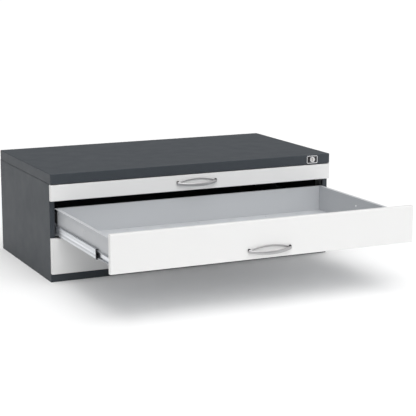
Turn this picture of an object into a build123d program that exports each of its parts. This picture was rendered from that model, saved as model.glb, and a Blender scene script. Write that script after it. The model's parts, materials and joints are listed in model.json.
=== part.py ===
from build123d import *
import math
import os

# A low steel flat file: a folded carcass with three full-width drawers on telescopic ball
# slides and a central lock. Millimetres, +Z up. The origin is on the floor at the middle of
# the carcass, and the drawers open towards -Y. The middle drawer stands open, as modelled.

# --- Overall sizes ---------------------------------------------------------------------
WIDTH = 1200.0
DEPTH = 660.0                      # from the drawer faces to the back
PLINTH_HEIGHT = 34.0               # floor to the underside of the lowest drawer face
TOP_FACE_HEIGHT = 62.0
DEEP_FACE_HEIGHT = 138.0
FACE_HEIGHTS = (TOP_FACE_HEIGHT, DEEP_FACE_HEIGHT, DEEP_FACE_HEIGHT)  # from the top down
FACE_GAP = 3.0
COVER_HEIGHT = 39.0
OPEN_DRAWER = 2                    # the drawer that is modelled open

# --- Carcass ---------------------------------------------------------------------------
SHEET = 1.0
FLANGE = 20.0                      # front and rear flanges of the side panels
FLANGE_RETURN = 6.0
LEDGE = 25.0                       # top and bottom flanges of the side panels
COVER_RETURN = 18.0
COVER_CORNER_RADIUS = 5.0
COVER_EDGE_RADIUS = 2.5
BASE_PAN_HEIGHT = 30.0
BASE_PAN_FOLD = 14.0
PLINTH_FLANGE = 25.0
POST_SHEET = 1.5
POST_WIDTH = 40.0
POST_HOLE_RADIUS = 2.5
POST_INSET = 20.0                  # front post, behind the carcass front
REAR_POST_INSET = 90.0             # rear post, ahead of the carcass back
FOOT_RADIUS = 16.0
FOOT_HEIGHT = 9.0
FOOT_STEM_RADIUS = 4.0
FOOT_NUT_RADIUS = 7.5
FOOT_NUT_HEIGHT = 6.0
FOOT_INSET = 60.0
FOOT_HOLE_CLEARANCE = 0.4
FOOT_STEM_PROUD = 3.0

# --- Drawers ---------------------------------------------------------------------------
FACE_THICKNESS = 18.0
FACE_EDGE_RADIUS = 2.5
FACE_STANDOFF = 2.0                # closed face to carcass front
SIDE_TOP_DROP = 29.0               # top edge of the face down to the top of the sides
RIM_OVER_SLIDE = 2.5               # least gap between a slide and the rim above it
FLOOR_RISE = 8.0                   # bottom edge of the face up to the drawer floor
DRAWER_REAR_CLEARANCE = 8.0
OPEN_OVERLAP = 10.0                # what stays inside the carcass of an open drawer
RIM_CLEARANCE = 1.5                # side rim to the flange beside it
REAR_RIM = 8.0
SLOT_PITCH = 150.0                 # divider slots across the floor
SLOT_EDGE = 36.0                   # slot row to the wall behind it or ahead of it
WIDE_SLOT = (28.0, 4.0)
DEEP_SLOT = (4.0, 14.0)
SIDE_HOLE_RADIUS = 3.0
SIDE_HOLE_DROP = 32.0              # below the top of the side
SIDE_HOLE_SETBACK = 350.0          # behind the face

# --- Ball slides -----------------------------------------------------------------------
SLIDE_HEIGHT = 45.0
SLIDE_DEPTH = 12.7
SLIDE_GAUGE = 1.2
SLIDE_BEND = 0.8                   # bend radius of a member's centre line
SLIDE_LIP = 2.0                    # height of the bent edge that holds the balls
SLIDE_LIP_DEPTH = 1.5
SLIDE_RISE = 26.0                  # bottom edge of the face up to the slide's centre line
SLIDE_SETBACK = 10.0               # outer member behind the carcass front
SLIDE_REAR_CLEARANCE = 28.0        # outer member to the back panel
SLIDE_INSET = 1.0                  # outer member's back inside the opening's side edge
OUTER_EDGE_CLEARANCE = 2.2         # outer member's edges to the drawer's side
OUTER_RACE = 3.6                   # height that the outer balls take
MIDDLE_EDGE_CLEARANCE = 2.5
MIDDLE_SHARE = 0.72                # middle member's travel over the drawer's travel
MIDDLE_SETBACK = 3.0               # behind the outer member's front end, closed
MIDDLE_SHORTER = 20.0              # than the outer member
MIDDLE_WEB = 2.6                   # centre of its web from the outer member's back
MIDDLE_CHANNEL = (6.6, 4.8)        # half heights of the channel along its web
INNER_RACE = 3.3                   # height that the inner balls take
INNER_EDGE = 5.2                   # its edges from the outer member's back
INNER_FRONT_CLEARANCE = 1.0
RETAINER_LENGTH = 6.0
RETAINER_CLEARANCE = 0.4
RETAINER_WALL = 2.4
WEB_HOLES = ((28.0, 3.6), (45.0, 2.2))  # distance from the front end, radius

# --- Bow handles -----------------------------------------------------------------------
HANDLE_WIDTH = 176.0
HANDLE_RISE = 31.0                 # bottom edge of the face up to the handle's ends
HANDLE_REACH = 26.0
HANDLE_THICKNESS = 6.0
GRIP_DROP = 14.0                   # lowest point of the grip below its ends
GRIP_HEIGHT = 11.0
GRIP_END_INSET = 1.5
RIM_LIFT = 17.0
RIM_WIDTH = 4.5
RIM_DEPTH = 3.5
RIM_END_INSET = 4.0
HANDLE_FOOT_RADIUS = 6.5
HANDLE_FOOT_DEPTH = 7.0

# --- Central lock ----------------------------------------------------------------------
LOCK_INSET = 83.0                  # from the right side
LOCK_PLATE = (50.0, 32.0, 2.5)
LOCK_PLATE_CORNER = 6.0
LOCK_RING_RADIUS = 13.0
LOCK_RING_HEIGHT = 2.5
LOCK_RING_CHAMFER = 1.5
LOCK_BARREL_RADIUS = 11.0
LOCK_BARREL_LENGTH = 22.0
LOCK_BARREL_CLEARANCE = 0.2
PLUG_RADIUS = 7.0
PLUG_CLEARANCE = 0.05
PLUG_PROUD = 0.6
KEYWAY = (2.2, 9.0, 4.0)           # width, height, depth
CAM_RADIUS = 10.0
CAM_THICKNESS = 2.5
CAM_PIN_RADIUS = 2.0
LOCK_STROKE = 8.0
YOKE_CLEARANCE = 0.5
BAR_THICKNESS = 3.0
BAR_WIDTH = 7.0
BAR_CLEARANCE = 1.0
ARM_HEIGHT = 10.0
TONGUE_HEIGHT = 7.0
TONGUE_REACH = 7.0
TONGUE_LIFT = 2.0                  # tongue above the drawer's rim
BAR_WALL_CLEARANCE = 2.0
CATCH_HEIGHT = 10.0
CATCH_THICKNESS = 1.5
CATCH_GAP = 1.5

# --- Places worked out from the sizes ----------------------------------------------------
HALF_WIDTH = WIDTH / 2
BACK = DEPTH / 2
FACE_FRONT = -DEPTH / 2
FACE_BACK = FACE_FRONT + FACE_THICKNESS
CARCASS_FRONT = FACE_BACK + FACE_STANDOFF
COVER_BASE = PLINTH_HEIGHT + sum(FACE_HEIGHTS) + FACE_GAP * len(FACE_HEIGHTS)
HEIGHT = COVER_BASE + COVER_HEIGHT
INNER_WALL = HALF_WIDTH - SHEET    # inner face of a side panel
FLANGE_EDGE = HALF_WIDTH - FLANGE  # the opening's side edge
BACK_PANEL = BACK - 2 * SHEET      # inner face of the back panel
DRAWER_REAR = BACK_PANEL - DRAWER_REAR_CLEARANCE
TRAVEL = DRAWER_REAR - CARCASS_FRONT - OPEN_OVERLAP
SLIDE_BACK = FLANGE_EDGE - SLIDE_INSET
SIDE_FACE = SLIDE_BACK - SLIDE_DEPTH
RIM_EDGE = FLANGE_EDGE - RIM_CLEARANCE
SLIDE_FRONT = CARCASS_FRONT + SLIDE_SETBACK
SLIDE_LENGTH = BACK_PANEL - SLIDE_REAR_CLEARANCE - SLIDE_FRONT
MIDDLE_LENGTH = SLIDE_LENGTH - MIDDLE_SHORTER
MIDDLE_HEIGHT = SLIDE_HEIGHT - 2 * (SLIDE_GAUGE + OUTER_RACE)
INNER_HEIGHT = MIDDLE_HEIGHT - 2 * (SLIDE_GAUGE + INNER_RACE)
BAR_FRONT = CARCASS_FRONT + FLANGE_RETURN + BAR_CLEARANCE
BAR_REAR = BAR_FRONT + BAR_THICKNESS
LOCK_X = HALF_WIDTH - LOCK_INSET
LOCK_Z = COVER_BASE + COVER_HEIGHT / 2
CAM_ANGLE = math.radians(45.0)     # of the cam's pin above the X axis, unlocked
CAM_THROW = LOCK_STROKE / (2 * math.cos(CAM_ANGLE))
EPSILON = 1.0                      # how far a cutting tool runs past a face


def block(x, y, z):
    """A box between the low and high value of each pair."""
    centre = [(low + high) / 2 for low, high in (x, y, z)]
    size = [abs(high - low) for low, high in (x, y, z)]
    return Pos(*centre) * Box(*size)


def rod(radius, x, z, y):
    """A cylinder along Y between the two values of y."""
    length = abs(y[1] - y[0])
    return Pos(x, (y[0] + y[1]) / 2, z) * Rot(90, 0, 0) * Cylinder(radius, length)


def post_rod(radius, x, y, z):
    """A cylinder along Z between the two values of z."""
    return Pos(x, y, (z[0] + z[1]) / 2) * Cylinder(radius, abs(z[1] - z[0]))


def cross_rod(radius, x, y, z):
    """A cylinder along X that cuts right through a sheet between the two values of x."""
    length = abs(x[1] - x[0]) + 2 * EPSILON
    return Pos((x[0] + x[1]) / 2, y, z) * Rot(0, 90, 0) * Cylinder(radius, length)


def weld(pieces):
    """All the pieces fused into one solid."""
    joined = pieces[0]
    for piece in pieces[1:]:
        joined = joined + piece
    return joined


def flip(shape):
    """The same piece on the other side of the cabinet."""
    return mirror(shape, about=Plane.YZ)


def rolled(points, y):
    """A rolled strip whose section follows the points (x, z), between two values of y."""
    centreline = FilletPolyline(*points, radius=SLIDE_BEND)
    section = trace(centreline, SLIDE_GAUGE)
    end = Plane(origin=(0, y[1], 0), x_dir=(1, 0, 0), z_dir=(0, -1, 0))
    return extrude(end * section, y[1] - y[0])


def save(name, shape):
    """Writes one node."""
    export_step(shape, "parts/" + name + ".step")


def face_bottom(number):
    """The bottom edge of a drawer's face; drawer 1 is the top one."""
    below = FACE_HEIGHTS[number:]
    return PLINTH_HEIGHT + sum(below) + FACE_GAP * len(below)


def face_top(number):
    """The top edge of a drawer's face."""
    return face_bottom(number) + FACE_HEIGHTS[number - 1]


def slide_centre(number):
    """The height of a drawer's slides."""
    return face_bottom(number) + SLIDE_RISE


def side_top(number):
    """The top of a drawer's sides: below the face's top edge, but always over the slides."""
    over_slide = slide_centre(number) + SLIDE_HEIGHT / 2 + RIM_OVER_SLIDE + SHEET
    return max(face_top(number) - SIDE_TOP_DROP, over_slide)


# --- Carcass ---------------------------------------------------------------------------
def left_side_panel():
    """The left wall, folded at its front, rear, top and bottom edges."""
    outside = -HALF_WIDTH
    whole_depth = (CARCASS_FRONT, BACK)
    whole_height = (0, COVER_BASE)
    flange_x = (outside, -FLANGE_EDGE)
    ledge_x = (outside, outside + LEDGE)
    return weld([
        block((outside, -INNER_WALL), whole_depth, whole_height),
        block(flange_x, (CARCASS_FRONT, CARCASS_FRONT + SHEET), whole_height),
        block((-FLANGE_EDGE - SHEET, -FLANGE_EDGE), (CARCASS_FRONT, CARCASS_FRONT + FLANGE_RETURN),
              whole_height),
        block(flange_x, (BACK - SHEET, BACK), whole_height),
        block(ledge_x, whole_depth, (0, SHEET)),
        block(ledge_x, whole_depth, (COVER_BASE - SHEET, COVER_BASE)),
    ])


def lock_bar_slot():
    """The cut that lets the lock bar's leg pass the top edge of the right wall."""
    leg_inside = INNER_WALL - BAR_WALL_CLEARANCE - BAR_WIDTH - LOCK_STROKE
    return block((leg_inside - BAR_CLEARANCE, INNER_WALL),
                 (BAR_FRONT - BAR_CLEARANCE, BAR_REAR + BAR_CLEARANCE),
                 (COVER_BASE - SHEET - EPSILON, COVER_BASE + SHEET + EPSILON))


def right_side_panel():
    """The right wall, with the slot for the lock bar."""
    return flip(left_side_panel()) - lock_bar_slot()


def back_panel():
    """The flat back, inside the rear flanges."""
    return block((-INNER_WALL, INNER_WALL), (BACK_PANEL, BACK - SHEET),
                 (SHEET, COVER_BASE - SHEET))


def rounded_slab(half_width, half_depth, z, corner, edge):
    """A slab with round corners and a round top edge."""
    slab = block((-half_width, half_width), (-half_depth, half_depth), z)
    slab = fillet(slab.edges().filter_by(Axis.Z), corner)
    return fillet(slab.faces().sort_by(Axis.Z)[-1].edges(), edge)


def top_cover():
    """The lid: a pan turned upside down, with a return along its lower edge."""
    shell = rounded_slab(HALF_WIDTH, BACK, (COVER_BASE, HEIGHT),
                         COVER_CORNER_RADIUS, COVER_EDGE_RADIUS)
    hollow = rounded_slab(HALF_WIDTH - SHEET, BACK - SHEET, (COVER_BASE + SHEET, HEIGHT - SHEET),
                          COVER_CORNER_RADIUS - SHEET, COVER_EDGE_RADIUS - SHEET)
    mouth = block((-HALF_WIDTH + COVER_RETURN, HALF_WIDTH - COVER_RETURN),
                  (-BACK + COVER_RETURN, BACK - COVER_RETURN),
                  (COVER_BASE - EPSILON, COVER_BASE + SHEET + EPSILON))
    lock_hole = rod(LOCK_BARREL_RADIUS + LOCK_BARREL_CLEARANCE, LOCK_X, LOCK_Z,
                    (FACE_FRONT - EPSILON, FACE_FRONT + SHEET + EPSILON))
    return shell - hollow - mouth - lock_hole - lock_bar_slot()


def foot_places():
    """The middle and the four corners of the base, as (x, y)."""
    x = HALF_WIDTH - FOOT_INSET
    front = CARCASS_FRONT + FOOT_INSET
    rear = BACK - FOOT_INSET
    return [(0, 0), (-x, front), (x, front), (-x, rear), (x, rear)]


def base_pan():
    """The floor of the carcass, folded down at its sides and back, with holes for the feet."""
    front = CARCASS_FRONT + FLANGE_RETURN + BAR_CLEARANCE / 2
    sheet_z = (BASE_PAN_HEIGHT - SHEET, BASE_PAN_HEIGHT)
    fold_z = (BASE_PAN_HEIGHT - BASE_PAN_FOLD, BASE_PAN_HEIGHT)
    across = (-INNER_WALL, INNER_WALL)
    pan = weld([
        block(across, (front, BACK_PANEL), sheet_z),
        block((-INNER_WALL, -INNER_WALL + SHEET), (front, BACK_PANEL), fold_z),
        block((INNER_WALL - SHEET, INNER_WALL), (front, BACK_PANEL), fold_z),
        block(across, (BACK_PANEL - SHEET, BACK_PANEL), fold_z),
    ])
    for x, y in foot_places():
        pan -= post_rod(FOOT_STEM_RADIUS + FOOT_HOLE_CLEARANCE, x, y,
                        (sheet_z[0] - EPSILON, sheet_z[1] + EPSILON))
    return pan


def plinth_bar():
    """The kick strip under the lowest drawer, folded back at its top and bottom."""
    between = (-FLANGE_EDGE, FLANGE_EDGE)
    between_ledges = (LEDGE - HALF_WIDTH, HALF_WIDTH - LEDGE)
    top = BASE_PAN_HEIGHT - SHEET
    deep = (CARCASS_FRONT, CARCASS_FRONT + PLINTH_FLANGE)
    return weld([
        block(between, (CARCASS_FRONT, CARCASS_FRONT + SHEET), (SHEET, top)),
        block(between_ledges, deep, (0, SHEET)),
        block(between, deep, (top - SHEET, top)),
    ])


def left_post(front):
    """An upright channel that carries the slides, with two screw holes for each slide."""
    face_x = (-SLIDE_BACK - POST_SHEET, -SLIDE_BACK)
    leg_x = (-INNER_WALL, -SLIDE_BACK)
    tall = (BASE_PAN_HEIGHT, COVER_BASE - SHEET)
    rear = front + POST_WIDTH
    post = weld([
        block(face_x, (front, rear), tall),
        block(leg_x, (front, front + POST_SHEET), tall),
        block(leg_x, (rear - POST_SHEET, rear), tall),
    ])
    for number in range(1, len(FACE_HEIGHTS) + 1):
        for side in (-1, 1):
            y = (front + rear) / 2 + side * POST_WIDTH / 4
            post -= cross_rod(POST_HOLE_RADIUS, face_x, y, slide_centre(number))
    return post


def levelling_feet():
    """The feet: a disc, a threaded stem and its nut under the base pan, one solid each."""
    feet = []
    underside = BASE_PAN_HEIGHT - SHEET
    for x, y in foot_places():
        feet.append(weld([
            post_rod(FOOT_RADIUS, x, y, (0, FOOT_HEIGHT)),
            post_rod(FOOT_STEM_RADIUS, x, y, (FOOT_HEIGHT, BASE_PAN_HEIGHT + FOOT_STEM_PROUD)),
            post_rod(FOOT_NUT_RADIUS, x, y, (underside - FOOT_NUT_HEIGHT, underside)),
        ]))
    return Compound(children=feet)


# --- Slides, built at the left wall --------------------------------------------------------
def slide_section(half_height, web, edge):
    """The bends of a C section: the web's place and the lips' edge, from the slide's back."""
    x_web = -SLIDE_BACK + web
    x_lip = -SLIDE_BACK + edge
    x_bend = x_lip - math.copysign(SLIDE_LIP_DEPTH, edge - web)
    lip = half_height - SLIDE_LIP
    return [(x_lip, -lip), (x_bend, -half_height), (x_web, -half_height),
            (x_web, half_height), (x_bend, half_height), (x_lip, lip)]


def outer_member(number):
    """The member that is screwed to the posts."""
    points = slide_section((SLIDE_HEIGHT - SLIDE_GAUGE) / 2, SLIDE_GAUGE / 2,
                           SLIDE_DEPTH - OUTER_EDGE_CLEARANCE)
    member = rolled(points, (SLIDE_FRONT, SLIDE_FRONT + SLIDE_LENGTH))
    return Pos(0, 0, slide_centre(number)) * member


def middle_front(number):
    """The front end of a middle member, as modelled."""
    shift = MIDDLE_SHARE * TRAVEL if number == OPEN_DRAWER else 0
    return SLIDE_FRONT + MIDDLE_SETBACK - shift


def middle_member(number):
    """The member between the two others, with a shallow channel along its web."""
    bends = slide_section((MIDDLE_HEIGHT - SLIDE_GAUGE) / 2, MIDDLE_WEB,
                          SLIDE_DEPTH - MIDDLE_EDGE_CLEARANCE)
    x_web = -SLIDE_BACK + MIDDLE_WEB
    x_channel = x_web + SLIDE_GAUGE
    mouth, bed = MIDDLE_CHANNEL
    channel = [(x_web, -mouth), (x_channel, -bed), (x_channel, bed), (x_web, mouth)]
    front = middle_front(number)
    member = rolled(bends[:3] + channel + bends[3:], (front, front + MIDDLE_LENGTH))
    for distance, radius in WEB_HOLES:
        member -= cross_rod(radius, (x_web, x_channel), front + distance, 0)
    return Pos(0, 0, slide_centre(number)) * member


def inner_member(number):
    """The member that is riveted to the drawer's side, closed."""
    points = slide_section((INNER_HEIGHT - SLIDE_GAUGE) / 2, SLIDE_DEPTH - SLIDE_GAUGE / 2,
                           INNER_EDGE)
    front = FACE_BACK + INNER_FRONT_CLEARANCE
    member = rolled(points, (front, front + SLIDE_LENGTH))
    return Pos(0, 0, slide_centre(number)) * member


def retainer(number):
    """The plastic stop on the middle member's front end, open where the inner member runs."""
    outside = -SLIDE_BACK + SLIDE_GAUGE + RETAINER_CLEARANCE
    inside = -SLIDE_BACK + SLIDE_DEPTH - OUTER_EDGE_CLEARANCE
    half = MIDDLE_HEIGHT / 2 + SLIDE_GAUGE
    passage = INNER_HEIGHT / 2 + RETAINER_CLEARANCE
    front = middle_front(number)
    body = block((outside, inside), (front - RETAINER_LENGTH, front), (-half, half))
    body = fillet(body.edges().filter_by(Axis.Y), SLIDE_GAUGE)
    body -= block((outside + RETAINER_WALL, inside + EPSILON),
                  (front - RETAINER_LENGTH - EPSILON, front + EPSILON), (-passage, passage))
    return Pos(0, 0, slide_centre(number)) * body


# --- Drawers, built closed -----------------------------------------------------------------
def front_pan(number):
    """The drawer's face: a shallow pan that is open at its back."""
    z = (face_bottom(number), face_top(number))
    pan = block((-HALF_WIDTH, HALF_WIDTH), (FACE_FRONT, FACE_BACK), z)
    pan = fillet(pan.faces().sort_by(Axis.Y)[0].edges(), FACE_EDGE_RADIUS)
    hollow = block((-INNER_WALL, INNER_WALL), (FACE_FRONT + SHEET, FACE_BACK + EPSILON),
                   (z[0] + SHEET, z[1] - SHEET))
    hollow = fillet(hollow.faces().sort_by(Axis.Y)[0].edges(), FACE_EDGE_RADIUS - SHEET)
    return pan - hollow


def front_liner(number):
    """The plate that closes the pan and carries the tray."""
    return block((-INNER_WALL, INNER_WALL), (FACE_BACK - SHEET, FACE_BACK),
                 (face_bottom(number) + SHEET, face_top(number) - SHEET))


def floor_slots(z):
    """Two rows of divider slots, alternately wide and deep."""
    rows = (FACE_BACK + SLOT_EDGE, DRAWER_REAR - REAR_RIM - SLOT_EDGE)
    count = int((SIDE_FACE - SLOT_PITCH / 2) // SLOT_PITCH)
    tools = []
    for y in rows:
        for place in range(-count, count + 1):
            wide, deep = WIDE_SLOT if place % 2 else DEEP_SLOT
            x = place * SLOT_PITCH
            tools.append(block((x - wide / 2, x + wide / 2), (y - deep / 2, y + deep / 2), z))
    return tools


def tray_floor(number):
    """The sheet that the drawings lie on."""
    low = face_bottom(number) + FLOOR_RISE
    floor = block((-SIDE_FACE + SHEET, SIDE_FACE - SHEET), (FACE_BACK, DRAWER_REAR - REAR_RIM),
                  (low, low + SHEET))
    for tool in floor_slots((low - EPSILON, low + SHEET + EPSILON)):
        floor -= tool
    return floor


def tray_left_side(number):
    """A side of the tray, with its rim folded out over the slide."""
    low = face_bottom(number) + FLOOR_RISE
    top = side_top(number)
    deep = (FACE_BACK, DRAWER_REAR)
    side = weld([
        block((-SIDE_FACE, -SIDE_FACE + SHEET), deep, (low, top)),
        block((-RIM_EDGE, -SIDE_FACE + SHEET), deep, (top - SHEET, top)),
    ])
    hole_z = top - SIDE_HOLE_DROP
    slide_top = slide_centre(number) + SLIDE_HEIGHT / 2
    if hole_z - SIDE_HOLE_RADIUS > slide_top:
        side -= cross_rod(SIDE_HOLE_RADIUS, (-SIDE_FACE, -SIDE_FACE + SHEET),
                          FACE_FRONT + SIDE_HOLE_SETBACK, hole_z)
    return side


def tray_right_side(number):
    """The other side, and the catch on its rim that the lock's tongue blocks, a solid each."""
    catch_front = BAR_REAR + CATCH_GAP
    catch = block((SIDE_FACE, RIM_EDGE), (catch_front, catch_front + CATCH_THICKNESS),
                  (side_top(number), side_top(number) + CATCH_HEIGHT))
    return Compound(children=[flip(tray_left_side(number)), catch])


def tray_rear_wall(number):
    """The wall at the tray's rear, with its rim folded back."""
    across = (-SIDE_FACE + SHEET, SIDE_FACE - SHEET)
    rear = DRAWER_REAR - REAR_RIM
    low = face_bottom(number) + FLOOR_RISE + SHEET
    top = side_top(number)
    return weld([
        block(across, (rear - SHEET, rear), (low, top)),
        block(across, (rear - SHEET, DRAWER_REAR), (top - SHEET, top)),
    ])


def bow(half_width, at_ends, at_middle):
    """The arc through two ends and a middle point of a handle's outline."""
    return ThreePointArc((-half_width, at_ends), (0, at_middle), (half_width, at_ends))


def crescent(half_width, ends, middles):
    """The face between two bows that share their half width."""
    first = bow(half_width, ends[0], middles[0])
    second = bow(half_width, ends[1], middles[1])
    left = Line(first @ 0, second @ 0)
    right = Line(first @ 1, second @ 1)
    return make_face([first, right, second, left])


def handle(number):
    """A bow handle: a thin rim on the face above and a thick grip that stands out below."""
    half = HANDLE_WIDTH / 2
    z = face_bottom(number) + HANDLE_RISE
    upright = Plane(origin=(0, FACE_FRONT, z), x_dir=(1, 0, 0), z_dir=(0, -1, 0))
    level = Plane(origin=(0, FACE_FRONT, z - GRIP_DROP - EPSILON), x_dir=(1, 0, 0), z_dir=(0, 0, 1))
    grip_front = crescent(half - GRIP_END_INSET, (-GRIP_HEIGHT / 2, GRIP_HEIGHT / 2),
                          (-GRIP_DROP, -GRIP_DROP + GRIP_HEIGHT))
    grip_plan = crescent(half, (-HANDLE_THICKNESS, 0),
                         (-HANDLE_REACH, -HANDLE_REACH + HANDLE_THICKNESS))
    grip = extrude(upright * grip_front, HANDLE_REACH + EPSILON)
    grip = grip & extrude(level * grip_plan, GRIP_DROP + GRIP_HEIGHT + 2 * EPSILON)
    rim_outline = crescent(half - RIM_END_INSET, (-RIM_WIDTH / 2, RIM_WIDTH / 2),
                           (RIM_LIFT - RIM_WIDTH, RIM_LIFT))
    rim = extrude(upright * rim_outline, RIM_DEPTH)
    foot_x = half - HANDLE_FOOT_RADIUS
    feet = [rod(HANDLE_FOOT_RADIUS, side * foot_x, z, (FACE_FRONT - HANDLE_FOOT_DEPTH, FACE_FRONT))
            for side in (-1, 1)]
    return weld([grip, rim] + feet)


# --- Central lock --------------------------------------------------------------------------
def lock_housing():
    """The plate on the cover, its raised ring and the barrel behind."""
    wide, high, thick = LOCK_PLATE
    front = FACE_FRONT - thick
    plate = block((LOCK_X - wide / 2, LOCK_X + wide / 2), (front, FACE_FRONT),
                  (LOCK_Z - high / 2, LOCK_Z + high / 2))
    plate = fillet(plate.edges().filter_by(Axis.Y), LOCK_PLATE_CORNER)
    ring = rod(LOCK_RING_RADIUS, LOCK_X, LOCK_Z, (front - LOCK_RING_HEIGHT, front))
    ring = chamfer(ring.faces().sort_by(Axis.Y)[0].edges(), LOCK_RING_CHAMFER)
    barrel = rod(LOCK_BARREL_RADIUS, LOCK_X, LOCK_Z, (FACE_FRONT, FACE_FRONT + LOCK_BARREL_LENGTH))
    bore = rod(PLUG_RADIUS + PLUG_CLEARANCE, LOCK_X, LOCK_Z,
               (front - LOCK_RING_HEIGHT - EPSILON, FACE_FRONT + LOCK_BARREL_LENGTH + EPSILON))
    return weld([plate, ring, barrel]) - bore


def lock_plug():
    """The part that the key turns, with its keyway upright when unlocked."""
    front = FACE_FRONT - LOCK_PLATE[2] - LOCK_RING_HEIGHT - PLUG_PROUD
    plug = rod(PLUG_RADIUS, LOCK_X, LOCK_Z, (front, FACE_FRONT + LOCK_BARREL_LENGTH))
    wide, high, deep = KEYWAY
    return plug - block((LOCK_X - wide / 2, LOCK_X + wide / 2), (front - EPSILON, front + deep),
                        (LOCK_Z - high / 2, LOCK_Z + high / 2))


def lock_cam():
    """The disc on the plug's rear end, with the pin that drives the lock bar."""
    front = FACE_FRONT + LOCK_BARREL_LENGTH
    rear = front + CAM_THICKNESS
    pin_x = LOCK_X + CAM_THROW * math.cos(CAM_ANGLE)
    pin_z = LOCK_Z + CAM_THROW * math.sin(CAM_ANGLE)
    return rod(CAM_RADIUS, LOCK_X, LOCK_Z, (front, rear)) + rod(
        CAM_PIN_RADIUS, pin_x, pin_z, (rear, BAR_REAR + BAR_CLEARANCE / 2))


def lock_bar():
    """The bar that the cam pulls across: an arm in the cover, a leg and a tongue per drawer."""
    y = (BAR_FRONT, BAR_REAR)
    leg_x = (INNER_WALL - BAR_WALL_CLEARANCE - BAR_WIDTH, INNER_WALL - BAR_WALL_CLEARANCE)
    slot_x = LOCK_X + CAM_THROW * math.cos(CAM_ANGLE)
    slot_half = CAM_PIN_RADIUS + YOKE_CLEARANCE
    slot_low = LOCK_Z + CAM_THROW * math.sin(CAM_ANGLE) - slot_half
    slot_high = LOCK_Z + CAM_THROW + slot_half
    arm_z = (LOCK_Z - ARM_HEIGHT / 2, LOCK_Z + ARM_HEIGHT / 2)
    lowest = side_top(len(FACE_HEIGHTS))
    pieces = [
        block(leg_x, y, (lowest, arm_z[1])),
        block((slot_x + slot_half, leg_x[1]), y, arm_z),
        block((slot_x - slot_half - BAR_THICKNESS, slot_x + slot_half + BAR_THICKNESS), y,
              (slot_low - BAR_THICKNESS, slot_high + BAR_THICKNESS)),
    ]
    for number in range(1, len(FACE_HEIGHTS) + 1):
        low = side_top(number) + TONGUE_LIFT
        pieces.append(block((leg_x[0] - TONGUE_REACH, leg_x[1]), y, (low, low + TONGUE_HEIGHT)))
    return weld(pieces) - block((slot_x - slot_half, slot_x + slot_half),
                                (y[0] - EPSILON, y[1] + EPSILON), (slot_low, slot_high))


# --- All nodes -----------------------------------------------------------------------------
def save_carcass():
    """The pieces that stay put."""
    save("left_side_panel", left_side_panel())
    save("right_side_panel", right_side_panel())
    save("back_panel", back_panel())
    save("top_cover", top_cover())
    save("base_pan", base_pan())
    save("plinth_bar", plinth_bar())
    save("levelling_feet", levelling_feet())
    posts = {"front": left_post(CARCASS_FRONT + POST_INSET),
             "rear": left_post(BACK - REAR_POST_INSET)}
    for place, post in posts.items():
        save("left_" + place + "_post", post)
        save("right_" + place + "_post", flip(post))


def save_lock():
    """The lock's four pieces."""
    save("lock_housing", lock_housing())
    save("lock_plug", lock_plug())
    save("lock_cam", lock_cam())
    save("lock_bar", lock_bar())


def save_drawer(number):
    """One drawer with its slides."""
    name = "drawer_" + str(number) + "_"
    shift = Pos(0, -TRAVEL if number == OPEN_DRAWER else 0, 0)
    tray = {
        "front_pan": front_pan(number),
        "front_liner": front_liner(number),
        "floor": tray_floor(number),
        "left_side": tray_left_side(number),
        "right_side": tray_right_side(number),
        "rear_wall": tray_rear_wall(number),
        "handle": handle(number),
        "left_slide_inner": inner_member(number),
        "right_slide_inner": flip(inner_member(number)),
    }
    for node, shape in tray.items():
        save(name + node, shift * shape)
    for node, shape in (("slide_outer", outer_member(number)),
                        ("slide_middle", middle_member(number)),
                        ("slide_retainer", retainer(number))):
        save(name + "left_" + node, shape)
        save(name + "right_" + node, flip(shape))


os.makedirs("parts", exist_ok=True)
save_carcass()
save_lock()
for drawer in range(1, len(FACE_HEIGHTS) + 1):
    save_drawer(drawer)
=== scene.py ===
"""A steel flat file cabinet for large drawings, with its middle drawer pulled out.

The frame gives every place and size. This script adds what a maker sees up close: bow
handles, lock, plastic stops, ball cages, screws and rounded folds, and every finish.
"""
from __future__ import annotations

import json
import logging
import math
from abc import ABC, abstractmethod
from collections.abc import Callable, Iterator
from contextlib import contextmanager
from dataclasses import dataclass, field
from enum import Enum
from typing import Any

import bmesh
import bpy
from mathutils import Matrix, Vector

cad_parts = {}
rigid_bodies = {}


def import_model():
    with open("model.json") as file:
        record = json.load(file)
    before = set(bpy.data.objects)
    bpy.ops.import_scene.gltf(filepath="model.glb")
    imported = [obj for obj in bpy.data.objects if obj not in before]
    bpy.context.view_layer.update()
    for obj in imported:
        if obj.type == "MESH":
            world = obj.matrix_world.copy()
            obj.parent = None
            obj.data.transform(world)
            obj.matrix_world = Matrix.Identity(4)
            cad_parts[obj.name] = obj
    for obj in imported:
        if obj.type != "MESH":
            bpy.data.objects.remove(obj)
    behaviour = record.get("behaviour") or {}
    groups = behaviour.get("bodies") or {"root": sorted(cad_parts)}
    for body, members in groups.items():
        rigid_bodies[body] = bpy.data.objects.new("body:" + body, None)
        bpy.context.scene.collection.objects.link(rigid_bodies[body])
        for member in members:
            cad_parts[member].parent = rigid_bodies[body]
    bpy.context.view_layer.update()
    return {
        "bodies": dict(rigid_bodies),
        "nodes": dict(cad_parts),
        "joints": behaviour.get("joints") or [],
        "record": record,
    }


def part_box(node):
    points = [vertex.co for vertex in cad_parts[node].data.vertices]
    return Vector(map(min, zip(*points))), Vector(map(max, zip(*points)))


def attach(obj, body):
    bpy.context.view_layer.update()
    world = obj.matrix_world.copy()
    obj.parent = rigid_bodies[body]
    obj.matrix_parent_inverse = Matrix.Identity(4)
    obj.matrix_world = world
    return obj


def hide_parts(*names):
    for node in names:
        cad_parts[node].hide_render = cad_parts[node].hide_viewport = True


LOG = logging.getLogger("flat_file")
MM = 0.001
DRAWERS = (1, 2, 3)
ORIGIN = Vector((0, 0, 0))

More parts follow.
